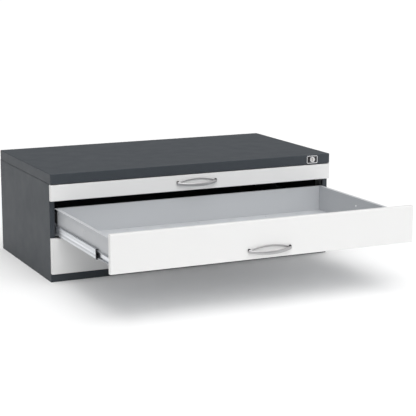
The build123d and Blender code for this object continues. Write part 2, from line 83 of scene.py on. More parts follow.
Colour = tuple[float, float, float]
FaceTest = Callable[[Vector, Vector], bool]
Box = tuple[Vector, Vector]


class Slot(Enum):
    """The material slots of the record."""

    CARCASS = "carcass_paint"
    FRONT = "front_paint"
    TRAY = "tray_paint"
    ZINC = "zinc_steel"
    POST = "post_steel"
    PLASTIC = "black_plastic"
    FOOT = "foot_plastic"
    HANDLE = "handle_aluminium"
    CHROME = "lock_chrome"
    PLUG = "lock_plug_steel"
    LOCK_STEEL = "lock_steel"


class Side(Enum):
    """Which side of the cabinet, as the sign of X."""

    LEFT = -1
    RIGHT = 1

    @property
    def word(self) -> str:
        """The side's name in the names of nodes."""
        return self.name.lower()


# --- Shader trees --------------------------------------------------------------------------
@dataclass(frozen=True)
class Signal:
    """A number that varies over a surface, written in plain arithmetic."""

    graph: Graph
    socket: bpy.types.NodeSocket

    def _math(self, operation: str, first: Any, second: Any) -> Signal:
        """Adds one Math node.

        Args:
            operation: the Math node's operation.
            first: its first value or signal.
            second: its second value or signal.

        Returns:
            The node's result.
        """
        return self.graph.signal("ShaderNodeMath", {"operation": operation}, {0: first, 1: second})

    def __add__(self, other: Signal | float) -> Signal:
        """self + other."""
        return self._math("ADD", self, other)

    def __sub__(self, other: Signal | float) -> Signal:
        """self - other."""
        return self._math("SUBTRACT", self, other)

    def __rsub__(self, other: float) -> Signal:
        """other - self."""
        return self._math("SUBTRACT", other, self)

    def __mul__(self, other: Signal | float) -> Signal:
        """self * other."""
        return self._math("MULTIPLY", self, other)

    __radd__ = __add__
    __rmul__ = __mul__


class Graph:
    """One material's node tree."""

    def __init__(self, name: str) -> None:
        """Starts an empty tree.

        Args:
            name: the material's name.
        """
        self.material = bpy.data.materials.new(name)
        self.material.use_nodes = True
        self.tree = self.material.node_tree
        self.tree.nodes.clear()
        self.place = self.signal("ShaderNodeTexCoord", {}, {}, "Object")

    def node(self, kind: str, settings: dict[str, Any], inputs: dict[Any, Any]) -> bpy.types.Node:
        """Adds a node of any kind.

        Args:
            kind: the node's type.
            settings: its own settings, set first; "stops" are a ramp's places and greys.
            inputs: a value or a signal for each named or numbered socket.

        Returns:
            The node.
        """
        node = self.tree.nodes.new(kind)
        for name, value in settings.items():
            if name == "stops":
                for element, (place, grey) in zip(node.color_ramp.elements, value):
                    element.position = place
                    element.color = (grey, grey, grey, 1.0)
            else:
                setattr(node, name, value)
        for name, value in inputs.items():
            if isinstance(value, Signal):
                self.tree.links.new(value.socket, node.inputs[name])
            else:
                node.inputs[name].default_value = value
        return node

    def signal(self, kind: str, settings: dict[str, Any], inputs: dict[Any, Any],
               output: str | int = 0) -> Signal:
        """Adds a node and gives one of its outputs.

        Args:
            kind: the node's type.
            settings: its own settings.
            inputs: a value or a signal for each socket.
            output: the output's name or number.

        Returns:
            The output.
        """
        return Signal(self, self.node(kind, settings, inputs).outputs[output])

    def stretched(self, scale: Colour) -> Signal:
        """The object's coordinates, scaled along each axis."""
        return self.signal("ShaderNodeMapping", {}, {"Vector": self.place, "Scale": scale})

    def noise(self, scale: float, detail: float, place: Signal | None = None) -> Signal:
        """Cloudy noise.

        Args:
            scale: blobs per metre.
            detail: how many finer layers.
            place: where it is read, or the object's coordinates.

        Returns:
            A signal around one half.
        """
        return self.signal("ShaderNodeTexNoise", {},
                           {"Vector": place or self.place, "Scale": scale, "Detail": detail})

    def ramp(self, value: Signal, low: float, high: float) -> Signal:
        """A smooth step from 0 at low to 1 at high."""
        return self.signal("ShaderNodeMapRange", {"interpolation_type": "SMOOTHSTEP"},
                           {"Value": value, "From Min": low, "From Max": high})

    def tinted(self, colour: Colour, tone: Signal) -> Signal:
        """A colour made lighter or darker by a signal around one."""
        return self.signal("ShaderNodeVectorMath", {"operation": "SCALE"},
                           {0: colour, "Scale": tone})

    def blend(self, factor: Signal, first: Any, second: Any) -> Signal:
        """A mix of two colours.

        Args:
            factor: 0 for the first colour, 1 for the second.
            first: a colour of four values, or a signal.
            second: the other.

        Returns:
            The mixed colour.
        """
        return self.signal("ShaderNodeMix", {"data_type": "RGBA"},
                           {0: factor, 6: first, 7: second}, 2)

    def bump(self, height: Signal, depth: float, strength: float) -> Signal:
        """A normal that follows a height.

        Args:
            height: the height, from 0 to 1.
            depth: what a height of 1 is, in metres.
            strength: how much of it shows.

        Returns:
            The normal.
        """
        return self.signal("ShaderNodeBump", {},
                           {"Height": height, "Distance": depth, "Strength": strength})

    def done(self, inputs: dict[str, Any]) -> bpy.types.Material:
        """Ends the tree in a Principled shader.

        Args:
            inputs: the values or signals of its sockets.

        Returns:
            The material.
        """
        shader = self.signal("ShaderNodeBsdfPrincipled", {}, inputs)
        self.node("ShaderNodeOutputMaterial", {}, {"Surface": shader})
        return self.material


# --- Finishes ------------------------------------------------------------------------------
@dataclass(frozen=True)
class Finish(ABC):
    """How a surface is coated, plated, polished or moulded."""

    name: str
    colour: Colour
    roughness: float

    @abstractmethod
    def material(self) -> bpy.types.Material:
        """The finish as a material."""


@dataclass(frozen=True)
class PowderCoat(Finish):
    """Baked powder paint: a fine pebbled skin with a slow change of tone."""

    grain: float = 1.1 * MM
    depth: float = 0.035 * MM
    cloud: float = 0.05
    speckle: float = 0.05
    specular: float = 0.5

    def material(self) -> bpy.types.Material:
        """The finish as a material."""
        graph = Graph(self.name)
        pebbles = graph.noise(1 / self.grain, 2.0)
        waves = graph.noise(0.12 / self.grain, 1.0)
        clouds = graph.noise(3.0, 2.0)
        tone = 1 + (clouds - 0.5) * self.cloud + (pebbles - 0.5) * self.speckle
        handled = graph.noise(14.0, 5.0)
        return graph.done({
            "Base Color": graph.tinted(self.colour, tone),
            "Roughness": self.roughness + (handled - 0.5) * 0.16 + (pebbles - 0.5) * 0.06,
            "Normal": graph.bump(pebbles * 0.7 + waves * 0.3, self.depth, 0.6),
            "Specular IOR Level": self.specular,
        })


@dataclass(frozen=True)
class RolledZinc(Finish):
    """Cold rolled strip, bright zinc plated: fine draw lines along Y and faint blooms."""

    line: float = 0.5 * MM

    def material(self) -> bpy.types.Material:
        """The finish as a material."""
        graph = Graph(self.name)
        along = graph.stretched((1.0, 0.006, 1.0))
        lines = graph.noise(1 / self.line, 3.0, along)
        bloom = graph.noise(45.0, 4.0)
        tone = 1 + (lines - 0.5) * 0.08 + (bloom - 0.5) * 0.04
        return graph.done({
            "Base Color": graph.tinted(self.colour, tone),
            "Metallic": 1.0,
            "Roughness": self.roughness + (bloom - 0.5) * 0.07 + (lines - 0.5) * 0.06,
            "Normal": graph.bump(lines, 0.006 * MM, 0.4),
        })


@dataclass(frozen=True)
class Galvanised(Finish):
    """Hot dip zinc: crystals of slightly different grey, dull and flat."""

    crystal: float = 7.0 * MM

    def material(self) -> bpy.types.Material:
        """The finish as a material."""
        graph = Graph(self.name)
        cells = graph.signal("ShaderNodeTexVoronoi", {"feature": "F1"},
                             {"Vector": graph.place, "Scale": 1 / self.crystal}, "Color")
        facet = graph.signal("ShaderNodeSeparateColor", {}, {"Color": cells})
        frost = graph.noise(260.0, 3.0)
        return graph.done({
            "Base Color": graph.tinted(self.colour, 0.9 + facet * 0.22),
            "Metallic": 1.0,
            "Roughness": self.roughness + (facet - 0.5) * 0.16 + (frost - 0.5) * 0.1,
            "Normal": graph.bump(frost, 0.02 * MM, 0.4),
        })


@dataclass(frozen=True)
class DrawnMetal(Finish):
    """Brushed or polished metal, with hairlines along X and a softer cloud of handling."""

    hairline: float = 0.3 * MM
    depth: float = 0.008 * MM
    wear: float = 0.10

    def material(self) -> bpy.types.Material:
        """The finish as a material."""
        graph = Graph(self.name)
        hairs = graph.noise(1 / self.hairline, 2.0, graph.stretched((0.03, 1.0, 1.0)))
        touch = graph.noise(70.0, 4.0)
        return graph.done({
            "Base Color": graph.tinted(self.colour, 1 + (hairs - 0.5) * self.wear),
            "Metallic": 1.0,
            "Roughness": self.roughness + (touch - 0.5) * self.wear + (hairs - 0.5) * self.wear,
            "Normal": graph.bump(hairs, self.depth, 0.5),
        })


@dataclass(frozen=True)
class MouldedPlastic(Finish):
    """Injection moulded plastic with a spark eroded grain and paler scuffs."""

    grain: float = 0.6 * MM

    def material(self) -> bpy.types.Material:
        """The finish as a material."""
        graph = Graph(self.name)
        pits = graph.noise(1 / self.grain, 2.0)
        scuffs = graph.ramp(graph.noise(120.0, 6.0), 0.62, 0.75)
        pale = tuple(min(1.0, value * 2.2 + 0.01) for value in self.colour)
        return graph.done({
            "Base Color": graph.blend(scuffs, (*self.colour, 1.0), (*pale, 1.0)),
            "Roughness": self.roughness + scuffs * 0.12 + (pits - 0.5) * 0.1,
            "Normal": graph.bump(pits, 0.04 * MM, 0.5),
        })


class FinishRack:
    """Every finish of the cabinet, made once and handed out by slot."""

    FINISHES = {
        Slot.CARCASS: PowderCoat("anthracite_powder", (0.042, 0.050, 0.059), 0.52, specular=0.33),
        Slot.FRONT: PowderCoat("white_powder", (0.80, 0.80, 0.796), 0.45,
                               cloud=0.015, speckle=0.015),
        Slot.TRAY: PowderCoat("light_grey_powder", (0.54, 0.555, 0.575), 0.42,
                              cloud=0.03, speckle=0.03),
        Slot.ZINC: RolledZinc("bright_zinc", (0.80, 0.82, 0.85), 0.30),
        Slot.POST: Galvanised("galvanised_post", (0.50, 0.51, 0.52), 0.46),
        Slot.PLASTIC: MouldedPlastic("black_stop_plastic", (0.012, 0.012, 0.014), 0.42),
        Slot.FOOT: MouldedPlastic("black_foot_plastic", (0.018, 0.018, 0.019), 0.55),
        Slot.HANDLE: DrawnMetal("satin_handle", (0.45, 0.445, 0.452), 0.38),
        Slot.CHROME: DrawnMetal("polished_chrome", (0.60, 0.60, 0.615), 0.15, wear=0.05),
        Slot.PLUG: DrawnMetal("nickel_plug", (0.62, 0.61, 0.59), 0.24, wear=0.08),
        Slot.LOCK_STEEL: RolledZinc("lock_bar_zinc", (0.55, 0.56, 0.57), 0.38),
    }

    def __init__(self) -> None:
        """Makes the materials."""
        self.materials = {slot: finish.material() for slot, finish in self.FINISHES.items()}

    def dress(self, part: bpy.types.Object, slot: Slot) -> None:
        """Gives a whole piece or node one finish.

        Args:
            part: the piece.
            slot: the record's slot of its finish.
        """
        if not part.data.materials:
            part.data.materials.append(None)
        for place in part.material_slots:
            place.material = self.materials[slot]


# --- Modelling -----------------------------------------------------------------------------
class Bench:
    """The modelling steps that the pieces are made with."""

    @staticmethod
    def clear() -> None:
        """Deselects every object."""
        bpy.ops.object.select_all(action="DESELECT")

    @staticmethod
    def take(part: bpy.types.Object) -> bpy.types.Object:
        """Makes a piece the only selected and active one.

        Args:
            part: the piece.

        Returns:
            The same piece.
        """
        Bench.clear()
        part.select_set(True)
        bpy.context.view_layer.objects.active = part
        return part

    @staticmethod
    def settle(name: str) -> bpy.types.Object:
        """Names the new primitive and moves its place into its mesh.

        Args:
            name: its name.

        Returns:
            The primitive.
        """
        part = bpy.context.active_object
        part.name = name
        part.data.name = name
        bpy.ops.object.transform_apply(location=True, rotation=True, scale=True)
        return part

    @staticmethod
    def block(name: str, low: Vector, high: Vector) -> bpy.types.Object:
        """A box between two corners.

        Args:
            name: its name.
            low: the lowest corner.
            high: the highest corner.

        Returns:
            The box.
        """
        Bench.clear()
        bpy.ops.mesh.primitive_cube_add(size=1.0, location=(low + high) / 2, scale=high - low)
        return Bench.settle(name)

    @staticmethod
    def drum(name: str, centre: Vector, radius: float, depth: float, axis: str,
             sides: int = 48) -> bpy.types.Object:
        """A cylinder about its centre.

        Args:
            name: its name.
            centre: the middle of its axis.
            radius: its radius.
            depth: its length.
            axis: "X", "Y" or "Z".
            sides: how many flats make it round.

        Returns:
            The cylinder.
        """
        turns = {"X": (0, math.pi / 2, 0), "Y": (math.pi / 2, 0, 0), "Z": (0, 0, 0)}
        Bench.clear()
        bpy.ops.mesh.primitive_cylinder_add(vertices=sides, radius=radius, depth=depth,
                                            location=centre, rotation=turns[axis])
        return Bench.settle(name)

    @staticmethod
    @contextmanager
    def shaping(part: bpy.types.Object) -> Iterator[None]:
        """Edit mode on one piece, with nothing selected.

        Args:
            part: the piece.

        Yields:
            Nothing, while the piece is in edit mode.
        """
        Bench.take(part)
        bpy.ops.object.mode_set(mode="EDIT")
        bpy.ops.mesh.select_all(action="DESELECT")
        try:
            yield
        finally:
            bpy.ops.object.mode_set(mode="OBJECT")

    @staticmethod
    def pick_all() -> None:
        """Selects the whole piece, in edit mode."""
        bpy.ops.mesh.select_all(action="SELECT")

    @staticmethod
    def pick_faces(part: bpy.types.Object, test: FaceTest) -> None:
        """Selects faces by their centre and normal, in edit mode.

        Args:
            part: the piece.
            test: true for the faces to select.
        """
        bpy.ops.mesh.select_mode(type="FACE")
        bpy.ops.mesh.select_all(action="DESELECT")
        shape = bmesh.from_edit_mesh(part.data)
        for face in shape.faces:
            if test(face.calc_center_median(), face.normal):
                face.select_set(True)
        bmesh.update_edit_mesh(part.data)

    @staticmethod
    def extrude(x: float, y: float, z: float) -> None:
        """Draws the selection out by a move, in edit mode."""
        bpy.ops.mesh.extrude_region_move(TRANSFORM_OT_translate={"value": (x, y, z)})

    @staticmethod
    def slice_level(height: float) -> None:
        """Cuts edges all round a piece at a height, in edit mode."""
        Bench.pick_all()
        bpy.ops.mesh.bisect(plane_co=(0, 0, height), plane_no=(0, 0, 1))

    @staticmethod
    def face_outwards() -> None:
        """Turns the faces of a closed piece outwards, in edit mode."""
        Bench.pick_all()
        bpy.ops.mesh.normals_make_consistent(inside=False)

    @staticmethod
    def round_along_y(part: bpy.types.Object, radius: float, segments: int,
                      left_of: float = math.inf) -> None:
        """Rounds a block's edges that run along Y, in edit mode.

        Args:
            part: the block.
            radius: the rounding's radius.
            segments: how many flats round it.
            left_of: only edges at a lower X than this.
        """
        bpy.ops.mesh.select_mode(type="EDGE")
        bpy.ops.mesh.select_all(action="DESELECT")
        shape = bmesh.from_edit_mesh(part.data)
        for edge in shape.edges:
            first, second = (vertex.co for vertex in edge.verts)
            if abs((second - first).normalized().y) > 0.9 and (first.x + second.x) / 2 < left_of:
                edge.select_set(True)
        bmesh.update_edit_mesh(part.data)
        bpy.ops.mesh.bevel(offset=radius, segments=segments, affect="EDGES")

    @staticmethod
    def bevel(part: bpy.types.Object, width: float, segments: int, angle: float = 35.0) -> None:
        """Rounds every edge that is sharper than an angle, as a modifier that is applied.

        Args:
            part: the piece.
            width: the bevel's width.
            segments: how many flats round it.
            angle: the least angle, in degrees.
        """
        Bench.take(part)
        modifier = part.modifiers.new("rounding", "BEVEL")
        modifier.width = width
        modifier.segments = segments
        modifier.limit_method = "ANGLE"
        modifier.angle_limit = math.radians(angle)
        bpy.ops.object.modifier_apply(modifier=modifier.name)

    @staticmethod
    def cut(part: bpy.types.Object, tool: bpy.types.Object) -> None:
        """Cuts a tool's shape out of a piece and throws the tool away.

        Args:
            part: the piece.
            tool: the shape to cut out.
        """
        Bench.take(part)
        modifier = part.modifiers.new("cut", "BOOLEAN")
        modifier.operation = "DIFFERENCE"
        modifier.solver = "EXACT"
        modifier.object = tool
        bpy.ops.object.modifier_apply(modifier=modifier.name)
        bpy.data.objects.remove(tool)

    @staticmethod
    def smooth(part: bpy.types.Object, angle: float = 32.0) -> None:
        """Shades a piece smooth, up to an angle in degrees."""
        Bench.take(part)
        bpy.ops.object.shade_smooth_by_angle(angle=math.radians(angle))

    @staticmethod
    def round_off(part: bpy.types.Object, width: float, segments: int, angle: float = 35.0) -> None:
        """Bevels a piece's sharp edges and shades it smooth."""
        Bench.bevel(part, width, segments, angle)
        Bench.smooth(part)

    @staticmethod
    def flatten(part: bpy.types.Object) -> None:
        """Keeps the wide faces flat to the eye, so that only the rounded edges shade round.

        Args:
            part: a piece that is shaded smooth.
        """
        Bench.take(part)
        modifier = part.modifiers.new("flat_faces", "WEIGHTED_NORMAL")
        modifier.mode = "FACE_AREA"
        modifier.weight = 100
        modifier.keep_sharp = True
        bpy.ops.object.modifier_apply(modifier=modifier.name)

    @staticmethod
    def join(name: str, parts: list[bpy.types.Object]) -> bpy.types.Object:
        """Joins pieces into one object.

        Args:
            name: the joined piece's name.
            parts: the pieces.

        Returns:
            The joined piece.
        """
        Bench.take(parts[0])
        for part in parts[1:]:
            part.select_set(True)
        bpy.ops.object.join()
        parts[0].name = name
        parts[0].data.name = name
        return parts[0]

    @staticmethod
    def copy(part: bpy.types.Object, name: str, shift: Vector = ORIGIN,
             mirrored: bool = False) -> bpy.types.Object:
        """A copy of a piece with a mesh of its own.

        Args:
            part: the piece.
            name: the copy's name.
            shift: how far it is moved.
            mirrored: true to reflect it to the other side of the cabinet first.

        Returns:
            The copy.
        """
        twin = bpy.data.objects.new(name, part.data.copy())
        twin.data.name = name
        bpy.context.scene.collection.objects.link(twin)
        if mirrored:
            twin.data.transform(Matrix.Scale(-1.0, 4, (1, 0, 0)))
            with Bench.shaping(twin):
                Bench.face_outwards()
        twin.data.transform(Matrix.Translation(shift))
        return twin


class Builder(ABC):
    """A sub-assembly that models its own pieces and gives them their finish."""

    MERGE = 0.01 * MM
    FLAT = math.radians(1.0)

    def __init__(self, frame: dict[str, Any], rack: FinishRack) -> None:
        """Keeps the frame and the finishes.

        Args:
            rack: the finishes.
        """
        self.frame = frame
        self.rack = rack

    @abstractmethod
    def build(self) -> None:
        """Makes the sub-assembly's pieces."""

    def fit(self, part: bpy.types.Object, body: str, slot: Slot, *nodes: str) -> None:
        """Finishes a piece and puts it on its body.

        Args:
            part: the piece.
            body: the body that it rides on.
            slot: the slot of its finish.
            nodes: the nodes that it stands for.
        """
        self.rack.dress(part, slot)
        if nodes:
            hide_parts(*nodes)
        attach(part, body)
        LOG.info("%s rides on %s, %d faces", part.name, body, len(part.data.polygons))

    def sheet(self, node: str, name: str) -> bpy.types.Object:
        """A copy of a node's sheet, merged and with every flat face whole.

        Args:
            node: the node of the sheet.
            name: the copy's name.

        Returns:
            The copy.
        """
        part = Bench.copy(self.frame["nodes"][node], name)
        with Bench.shaping(part):
            Bench.pick_all()
            bpy.ops.mesh.remove_doubles(threshold=self.MERGE)
            bpy.ops.mesh.dissolve_limited(angle_limit=self.FLAT)
        return part

    def soften(self, node: str, body: str, slot: Slot, radius: float) -> bpy.types.Object:
        """Stands a copy of a folded sheet in its place, with its folds and edges rounded.

        Args:
            node: the node of the sheet.
            body: the body that it rides on.
            slot: the slot of its finish.
            radius: the width of the rounding.

        Returns:
            The copy.
        """
        part = self.sheet(node, node + "_folded")
        Bench.round_off(part, radius, 2)
        Bench.flatten(part)
        self.fit(part, body, slot, node)
        return part


# --- Carcass -------------------------------------------------------------------------------
@dataclass
class Fastener:
    """A pan head screw with a cross recess."""

    radius: float = 4.2 * MM
    height: float = 1.0 * MM
    recess: tuple[float, float, float] = (1.1 * MM, 4.4 * MM, 0.6 * MM)   # width, length, depth
    crown: float = 0.28

    def model(self, name: str, seat: Vector) -> bpy.types.Object:
        """The head, seated on a face that looks along +Y.

        Args:
            name: its name.
            seat: the middle of the face under it.

        Returns:
            The screw's head.
        """
        top = seat + Vector((0, self.height, 0))
        head = Bench.drum(name, (seat + top) / 2, self.radius, self.height, "Y", 28)
        narrow, long, deep = self.recess
        for wide, high in ((narrow, long), (long, narrow)):
            reach = Vector((wide / 2, deep, high / 2))
            Bench.cut(head, Bench.block("recess", top - reach, top + reach))
        Bench.round_off(head, self.crown * self.radius, 3, 60.0)
        return head


@dataclass
class LevellingFoot:
    """A ribbed disc, a threaded stem and a hexagon nut, about the Z axis."""

    radius: float = 16 * MM
    disc_height: float = 9 * MM
    ribs: int = 12
    rib_gap: float = 0.3 * MM
    rib_depth: float = 0.9 * MM
    crown_width: float = 4.5 * MM
    crown_height: float = 1.4 * MM
    nut_radius: float = 7.5 * MM
    nut_height: float = 6 * MM
    nut_top: float = 29 * MM
    stem_radius: float = 4 * MM
    pitch: float = 1.25 * MM
    groove: float = 0.88

    def model(self, bottom: float, top: float) -> bpy.types.Object:
        """The whole foot.

        Args:
            bottom: the floor.
            top: the stem's upper end.

        Returns:
            The foot.
        """
        disc = self.disc(bottom)
        stem = self.stem(bottom + self.disc_height, top)
        nut = Bench.drum("nut", Vector((0, 0, self.nut_top - self.nut_height / 2)),
                         self.nut_radius, self.nut_height, "Z", 6)
        Bench.bevel(nut, 0.5 * MM, 2)
        foot = Bench.join("foot", [disc, stem, nut])
        Bench.smooth(foot)
        return foot

    def disc(self, bottom: float) -> bpy.types.Object:
        """The disc, with hollows between its ribs and a crown on top.

        Args:
            bottom: the floor.

        Returns:
            The disc.
        """
        disc = Bench.drum("foot", Vector((0, 0, bottom + self.disc_height / 2)), self.radius,
                          self.disc_height, "Z", self.ribs * 4)
        with Bench.shaping(disc):
            Bench.pick_faces(disc, lambda middle, normal: abs(normal.z) < 0.5
                             and math.floor((math.atan2(middle.y, middle.x) + math.pi)
                                            / math.tau * self.ribs * 2) % 2 == 0)
            bpy.ops.mesh.inset(thickness=self.rib_gap, depth=-self.rib_depth)
            Bench.pick_faces(disc, lambda middle, normal: normal.z > 0.9)
            bpy.ops.mesh.inset(thickness=self.crown_width)
            Bench.extrude(0, 0, self.crown_height)
        Bench.bevel(disc, 0.35 * MM, 2, 50.0)
        with Bench.shaping(disc):
            Bench.pick_all()
            bpy.ops.mesh.bisect(plane_co=(0, 0, bottom), plane_no=(0, 0, -1), use_fill=True,
                                clear_outer=True)
        return disc

    def stem(self, bottom: float, top: float) -> bpy.types.Object:
        """The stem with its thread grooves, drawn up ring by ring.

        Args:
            bottom: where it starts.
            top: where it ends.

        Returns:
            The stem.
        """
        Bench.clear()
        bpy.ops.mesh.primitive_circle_add(vertices=20, radius=self.stem_radius, fill_type="NGON",
                                          location=(0, 0, bottom))
        stem = Bench.settle("stem")
        turns = int((top - bottom) / self.pitch)
        step = (top - bottom) / (2 * turns)
        with Bench.shaping(stem):
            Bench.pick_all()
            height = bottom
            for scale in [self.groove, 1 / self.groove] * turns:
                height += step
                Bench.extrude(0, 0, step)
                bpy.ops.transform.resize(value=(scale, scale, 1.0), center_override=(0, 0, height))
            Bench.face_outwards()
        return stem


class Carcass(Builder):
    """The panels, cover, base, posts and feet that stay put."""

    FOLD = 0.45 * MM
    SEAM_HEIGHT = 3.0 * MM
    SEAM_DEPTH = 2.5 * MM
    SCREW_COLUMNS = 4
    SCREW_INSET = 12 * MM

    def build(self) -> None:
        """Makes the carcass's pieces."""
        for side in Side:
            self.seam(self.soften(side.word + "_side_panel", "root", Slot.CARCASS, self.FOLD))
        self.soften("plinth_bar", "root", Slot.CARCASS, self.FOLD)
        self.back_screws()
        self.feet()

    def seam(self, panel: bpy.types.Object) -> None:
        """Presses the top of a side panel in a little, which leaves a dark seam under the cover.

        Args:
            panel: the side panel's piece.
        """
        corners = [vertex.co.copy() for vertex in panel.data.vertices]
        line = max(corner.z for corner in corners) - self.SEAM_HEIGHT
        skin = max(abs(corner.x) for corner in corners) - self.FOLD
        inward = math.copysign(self.SEAM_DEPTH, -corners[0].x)
        with Bench.shaping(panel):
            Bench.slice_level(line)
            Bench.pick_faces(panel, lambda middle, normal: middle.z > line
                             and abs(middle.x) > skin and abs(normal.x) > 0.5)
            Bench.extrude(inward, 0, 0)
        Bench.smooth(panel)
        Bench.flatten(panel)

    def back_screws(self) -> None:
        """The screws that hold the back panel, in two rows."""
        low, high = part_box("back_panel")
        start = low.x + self.SCREW_INSET
        pitch = (high.x - low.x - 2 * self.SCREW_INSET) / (self.SCREW_COLUMNS - 1)
        first = Fastener().model("back_screw", Vector((0, high.y, 0)))
        heads = [Bench.copy(first, "back_screw_head", Vector((start + column * pitch, 0, z)))
                 for column in range(self.SCREW_COLUMNS)
                 for z in (low.z + self.SCREW_INSET, high.z - self.SCREW_INSET)]
        bpy.data.objects.remove(first)
        self.fit(Bench.join("back_panel_screws", heads), "root", Slot.POST)

    def feet(self) -> None:
        """The levelling feet, in the middle and at the corners."""
        low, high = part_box("levelling_feet")
        design = LevellingFoot()
        foot = design.model(low.z, high.z)
        across, deep = high.x - design.radius, high.y - design.radius
        places = [ORIGIN] + [Vector((x * across, y * deep, 0)) for x in (-1, 1) for y in (-1, 1)]
        feet = [Bench.copy(foot, "foot_copy", place) for place in places]
        bpy.data.objects.remove(foot)
        self.fit(Bench.join("levelling_feet_ribbed", feet), "root", Slot.FOOT, "levelling_feet")


# --- Central lock --------------------------------------------------------------------------
@dataclass
class CentralLock(Builder):
    """The lock's plate with its bed and ring, and the plug that the key turns."""

    frame: dict[str, Any]
    rack: FinishRack
    corner: float = 6 * MM
    border: float = 3 * MM
    dish: float = 1.2 * MM
    dish_taper: tuple[float, float, float] = (0.97, 1.0, 0.95)
    bed_inset: float = 3.6 * MM
    bed_corner: float = 2.6 * MM
    bed_drop: float = 0.5 * MM
    bed_overlap: float = 0.05 * MM
    ring_radius: float = 11.5 * MM
    ring_height: float = 2.5 * MM
    ring_gap: float = 0.2 * MM
    barrel_radius: float = 11 * MM
    barrel_lip: float = 1.2 * MM
    barrel_step: float = 0.8 * MM
    plug_radius: float = 7 * MM
    plug_gap: float = 0.1 * MM
    keyway: tuple[float, float, float] = (2.2 * MM, 9 * MM, 4 * MM)        # width, height, depth
    keyway_slit: tuple[float, float, float] = (1.21 * MM, 11.25 * MM, 2.8 * MM)

    def build(self) -> None:
        """Makes the plate, its bed and the plug."""
        low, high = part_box("lock_housing")
        centre = (low + high) / 2
        front = low.y + self.ring_height
        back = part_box("top_cover")[0].y
        plate = Bench.block("lock_plate", Vector((low.x, front, low.z)),
                            Vector((high.x, back, high.z)))
        with Bench.shaping(plate):
            Bench.round_along_y(plate, self.corner, 8)
            Bench.pick_faces(plate, lambda middle, normal: normal.y < -0.9)
            bpy.ops.mesh.inset(thickness=self.border)
            Bench.extrude(0, self.dish, 0)
            bpy.ops.transform.resize(value=self.dish_taper,
                                     center_override=Vector((centre.x, front, centre.z)))
        Bench.round_off(plate, 0.5 * MM, 3)
        ring = self.ring(centre, low.y, front + self.dish)
        barrel = self.barrel(centre, back, high.y)
        housing = Bench.join("lock_plate_and_barrel", [plate, ring, barrel])
        self.fit(housing, "root", Slot.CHROME, "lock_housing")
        self.bed(low, high, front)
        self.plug(centre)

    def bed(self, low: Vector, high: Vector, front: float) -> None:
        """The black bed that lies in the chrome frame, round the ring; its black paints the dark
        reflection of the polished centre.

        Args:
            low: the lock's lowest corner.
            high: its highest corner.
            front: the front of the frame.
        """
        centre = (low + high) / 2
        inset = self.bed_inset
        bed = Bench.block("lock_plate_bed",
                          Vector((low.x + inset, front + self.bed_drop, low.z + inset)),
                          Vector((high.x - inset, front + self.dish + self.bed_overlap,
                                  high.z - inset)))
        with Bench.shaping(bed):
            Bench.round_along_y(bed, self.bed_corner, 6)
        Bench.cut(bed, Bench.drum("bore", Vector((centre.x, front, centre.z)),
                                  self.ring_radius + self.ring_gap, 8 * MM, "Y", 64))
        Bench.round_off(bed, 0.2 * MM, 2)
        # The bed's black plastic paints the dark reflection of the lock's polished centre.
        self.fit(bed, "root", Slot.PLASTIC)

    def bore(self, part: bpy.types.Object, middle: Vector, length: float) -> None:
        """Bores the plug's hole through a piece.

        Args:
            part: the piece.
            middle: the middle of the hole.
            length: its length.
        """
        Bench.cut(part, Bench.drum("bore", middle, self.plug_radius + self.plug_gap, length, "Y"))

    def ring(self, centre: Vector, front: float, seat: float) -> bpy.types.Object:
        """The raised ring round the plug.

        Args:
            centre: the lock's middle.
            front: the ring's front.
            seat: the bed of the plate under it.

        Returns:
            The ring.
        """
        middle = Vector((centre.x, (front + seat) / 2, centre.z))
        ring = Bench.drum("lock_ring", middle, self.ring_radius, seat - front, "Y", 64)
        self.bore(ring, middle, 4 * (seat - front))
        Bench.round_off(ring, 0.8 * MM, 4)
        return ring

    def barrel(self, centre: Vector, front: float, back: float) -> bpy.types.Object:
        """The barrel behind the cover, with a step at its rear.

        Args:
            centre: the lock's middle.
            front: the barrel's front.
            back: its rear.

        Returns:
            The barrel.
        """
        middle = Vector((centre.x, (front + back) / 2, centre.z))
        barrel = Bench.drum("lock_barrel", middle, self.barrel_radius, back - front, "Y")
        with Bench.shaping(barrel):
            Bench.pick_faces(barrel, lambda middle, normal: normal.y > 0.9)
            bpy.ops.mesh.inset(thickness=self.barrel_lip)
            Bench.extrude(0, -self.barrel_step, 0)
        self.bore(barrel, middle, 2 * (back - front))
        Bench.round_off(barrel, 0.4 * MM, 2)
        return barrel

    def plug(self, centre: Vector) -> None:
        """The plug, with a keyway that widens at its mouth.

        Args:
            centre: the lock's middle.
        """
        low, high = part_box("lock_plug")
        middle = Vector((centre.x, (low.y + high.y) / 2, centre.z))
        plug = Bench.drum("lock_plug_turned", middle, self.plug_radius, high.y - low.y, "Y")
        mouth = Vector((centre.x, low.y, centre.z))
        for width, height, depth in (self.keyway, self.keyway_slit):
            reach = Vector((width / 2, depth, height / 2))
            Bench.cut(plug, Bench.block("keyway", mouth - reach, mouth + reach))
        Bench.round_off(plug, 0.35 * MM, 3)
        self.fit(plug, "lock", Slot.PLUG, "lock_plug")


